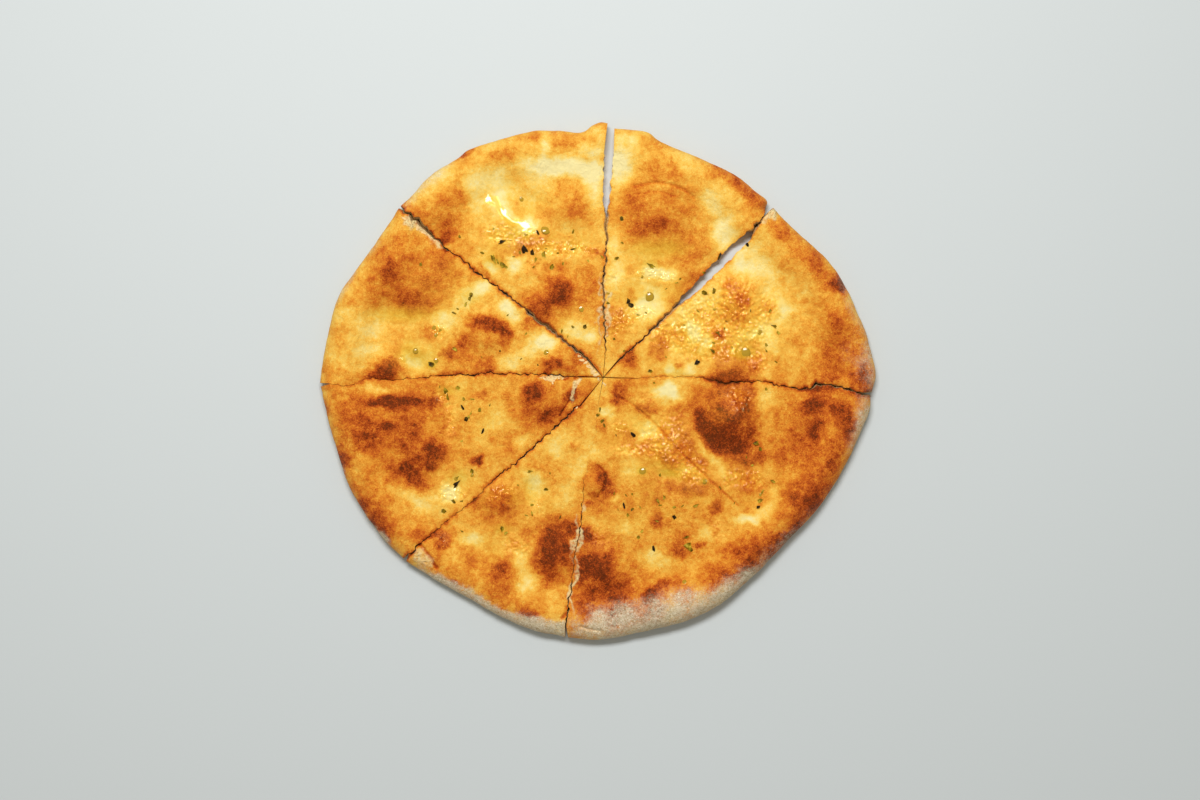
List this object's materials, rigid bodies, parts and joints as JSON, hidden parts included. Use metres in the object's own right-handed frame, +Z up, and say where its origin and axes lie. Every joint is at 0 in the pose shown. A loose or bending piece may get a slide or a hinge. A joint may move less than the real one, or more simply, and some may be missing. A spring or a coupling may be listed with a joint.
{
  "type": "focaccia",
  "caption": "Round, thin, golden focaccia with a swollen floury rim, brown blisters, oil and dried herbs, cut with a wheel into slices that still lie together as one bread.",
  "frame": {"origin": "on the ground, under the middle of the bread's bounding box", "axes": "+Z up out of the crust, +X along the bread's longer way, +Y towards the pointed ear at the open cut"},
  "size_m": [0.278, 0.259, 0.016],
  "materials": {
    "crust": "golden baked crust, mottled brown on the blisters, wet with oil in the hollows and floury at the rim",
    "crumb": "dry pale crumb, open and torn",
    "herb": "dried dark green leaf flakes",
    "oil": "wet olive oil drops"
  },
  "bodies": {
    "root": {"slice_one": "crust", "slice_two": "crust", "slice_wide": "crust", "slice_seven": "crust", "slice_eight": "crust", "slice_ten": "crust", "slice_eleven": "crust"}
  },
  "joints": []
}
